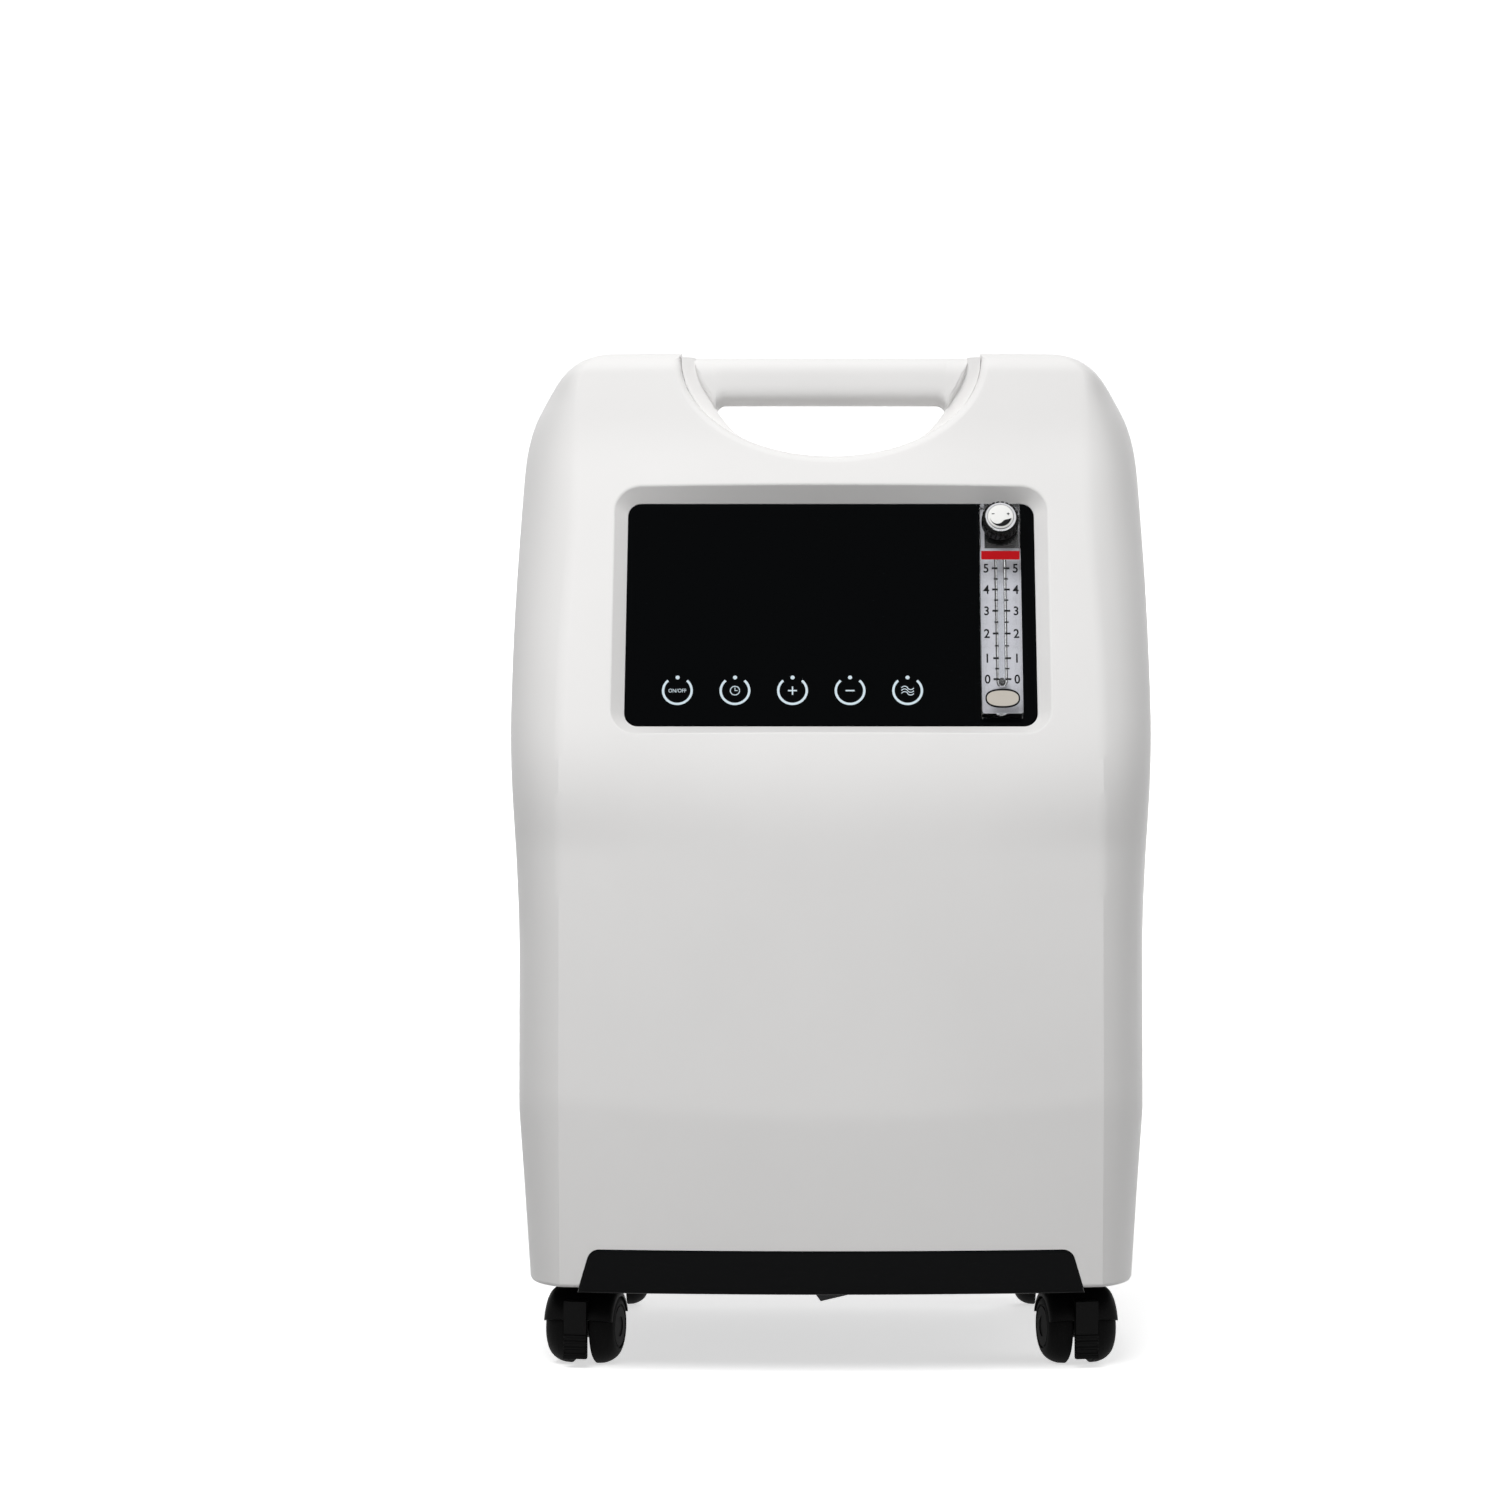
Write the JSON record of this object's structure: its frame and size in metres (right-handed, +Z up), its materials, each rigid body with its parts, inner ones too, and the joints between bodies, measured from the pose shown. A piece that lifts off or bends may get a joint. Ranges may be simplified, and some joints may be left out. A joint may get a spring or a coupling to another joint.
{
  "type": "oxygen concentrator",
  "caption": "Floor-standing oxygen concentrator: moulded body with scoop handle, leaning touch panel with flowmeter, rear humidifier niche and swivel casters.",
  "frame": {"origin": "on the floor under the middle of the bounding box", "axes": "+Z up; the control panel faces -Y; +X is on the viewer's right when facing the panel"},
  "size_m": [0.38, 0.37, 0.6],
  "materials": {
    "white_abs": "fine satin moulded ABS",
    "black_gloss": "glossy acrylic",
    "dark_plate": "printed film, matt",
    "clear_acrylic": "polished clear acrylic",
    "black_abs": "moulded, lightly grained",
    "black_nylon": "moulded nylon",
    "wheel_pu": "smooth polyurethane tread",
    "steel_sheet": "zinc-plated sheet",
    "bright_steel": "turned",
    "brass": "turned",
    "cast_aluminium": "die cast",
    "copper_tube": "drawn tube",
    "circuit_board": "solder mask",
    "grey_plastic": "moulded",
    "cream_plastic": "moulded",
    "yellow_plastic": "moulded",
    "foam": "open-cell foam",
    "soft_tube": "silicone tube",
    "mount_rubber": "moulded rubber",
    "green_plastic": "moulded",
    "clear_jar": "clear polycarbonate",
    "red_plastic": "moulded"
  },
  "bodies": {
    "machine": {"front_cover": "white_abs", "rear_cover": "white_abs", "carry_handle": "white_abs", "scoop_plate": "dark_plate", "display_panel": "black_gloss", "touch_board": "circuit_board", "flowmeter_block": "clear_acrylic", "meter_fittings": "brass", "base_tray": "black_abs", "base_apron": "black_gloss", "base_block": "black_abs", "chassis": "steel_sheet", "control_board": "circuit_board", "power_supply": "steel_sheet", "run_capacitor": "cream_plastic", "compressor_case": "cast_aluminium", "compressor_heads": "cast_aluminium", "rubber_mounts": "mount_rubber", "sieve_beds": "cast_aluminium", "sieve_caps": "cast_aluminium", "valve_manifold": "cast_aluminium", "solenoids": "grey_plastic", "product_tank": "steel_sheet", "regulator": "brass", "bacteria_filter": "cream_plastic", "heat_exchanger": "copper_tube", "fan_frame": "black_abs", "intake_silencer": "black_abs", "exhaust_silencer": "black_abs", "gas_tubes": "soft_tube", "filter_foam": "foam", "exhaust_grille": "black_abs", "power_inlet": "black_abs", "switch_frame": "black_abs", "breaker_body": "black_abs", "oxygen_outlet": "green_plastic", "nebuliser_outlet": "grey_plastic", "cover_screws": "bright_steel"},
    "ball": {"float_ball": "bright_steel"},
    "knob": {"valve_stem": "bright_steel", "flow_knob": "black_abs", "knob_cap": "cream_plastic"},
    "compressor_rotor": {"compressor_fan": "yellow_plastic"},
    "cooling_rotor": {"fan_rotor": "black_abs"},
    "intake_door": {"filter_door": "white_abs"},
    "rocker": {"rocker_switch": "black_abs"},
    "reset": {"reset_button": "red_plastic"},
    "humidifier": {"humidifier_jar": "clear_jar", "humidifier_lid": "cream_plastic"},
    "swivel_nut": {"humidifier_nut": "green_plastic"},
    "caster_fl": {"caster_fl_fork": "black_nylon"},
    "wheels_fl": {"caster_fl_wheels": "wheel_pu"},
    "pedal_fl": {"caster_fl_pedal": "black_nylon"},
    "caster_fr": {"caster_fr_fork": "black_nylon"},
    "wheels_fr": {"caster_fr_wheels": "wheel_pu"},
    "pedal_fr": {"caster_fr_pedal": "black_nylon"},
    "caster_rl": {"caster_rl_fork": "black_nylon"},
    "wheels_rl": {"caster_rl_wheels": "wheel_pu"},
    "caster_rr": {"caster_rr_fork": "black_nylon"},
    "wheels_rr": {"caster_rr_wheels": "wheel_pu"}
  },
  "joints": [
    {"name": "caster_fl_swivel", "type": "hinge", "parent": "machine", "child": "caster_fl", "pos_m": [-0.142, -0.105, 0.06], "axis": [0, 0, 1], "continuous": true},
    {"name": "caster_fl_roll", "type": "hinge", "parent": "caster_fl", "child": "wheels_fl", "pos_m": [-0.1445, -0.11674, 0.022], "axis": [0.9781, -0.2079, 0], "continuous": true},
    {"name": "caster_fl_brake", "type": "hinge", "parent": "caster_fl", "child": "pedal_fl", "pos_m": [-0.14803, -0.13337, 0.036], "axis": [0.9781, -0.2079, 0], "range_deg": [-20, 0]},
    {"name": "caster_fr_swivel", "type": "hinge", "parent": "machine", "child": "caster_fr", "pos_m": [0.142, -0.105, 0.06], "axis": [0, 0, 1], "continuous": true},
    {"name": "caster_fr_roll", "type": "hinge", "parent": "caster_fr", "child": "wheels_fr", "pos_m": [0.1445, -0.11674, 0.022], "axis": [0.9781, 0.2079, 0], "continuous": true},
    {"name": "caster_fr_brake", "type": "hinge", "parent": "caster_fr", "child": "pedal_fr", "pos_m": [0.14803, -0.13337, 0.036], "axis": [0.9781, 0.2079, 0], "range_deg": [-20, 0]},
    {"name": "caster_rl_swivel", "type": "hinge", "parent": "machine", "child": "caster_rl", "pos_m": [-0.142, 0.13, 0.06], "axis": [0, 0, 1], "continuous": true},
    {"name": "caster_rl_roll", "type": "hinge", "parent": "caster_rl", "child": "wheels_rl", "pos_m": [-0.142, 0.142, 0.022], "axis": [-1, 0, 0], "continuous": true},
    {"name": "caster_rr_swivel", "type": "hinge", "parent": "machine", "child": "caster_rr", "pos_m": [0.142, 0.13, 0.06], "axis": [0, 0, 1], "continuous": true},
    {"name": "caster_rr_roll", "type": "hinge", "parent": "caster_rr", "child": "wheels_rr", "pos_m": [0.142, 0.142, 0.022], "axis": [-1, 0, 0], "continuous": true},
    {"name": "ball_float", "type": "slide", "parent": "machine", "child": "ball", "axis": [0, 0.3338, 0.9426], "range_m": [0, 0.07]},
    {"name": "flow_knob_turn", "type": "hinge", "parent": "machine", "child": "knob", "pos_m": [0.0995, -0.1253, 0.49609], "axis": [0, -0.9426, 0.3338], "range_deg": [0, 1080]},
    {"name": "compressor_shaft", "type": "hinge", "parent": "machine", "child": "compressor_rotor", "pos_m": [0, -0.042, 0.138], "axis": [1, 0, 0], "continuous": true},
    {"name": "cooling_fan", "type": "hinge", "parent": "machine", "child": "cooling_rotor", "pos_m": [0, 0.165, 0.14], "axis": [0, 1, 0], "continuous": true},
    {"name": "filter_door_pull", "type": "slide", "parent": "machine", "child": "intake_door", "axis": [0, 1, 0], "range_m": [0, 0.03]},
    {"name": "power_rocker", "type": "hinge", "parent": "machine", "child": "rocker", "pos_m": [0.128, 0.178, 0.15], "axis": [1, 0, 0], "range_deg": [-8, 8]},
    {"name": "breaker_reset", "type": "slide", "parent": "machine", "child": "reset", "axis": [0, -1, 0], "range_m": [0, 0.002], "stiffness_N_per_m": 400},
    {"name": "humidifier_lift", "type": "slide", "parent": "machine", "child": "humidifier", "axis": [0, 0, 1], "range_m": [0, 0.07]},
    {"name": "nut_turn", "type": "hinge", "parent": "humidifier", "child": "swivel_nut", "pos_m": [0, 0.137, 0.5], "axis": [0, 0, 1], "continuous": true}
  ]
}
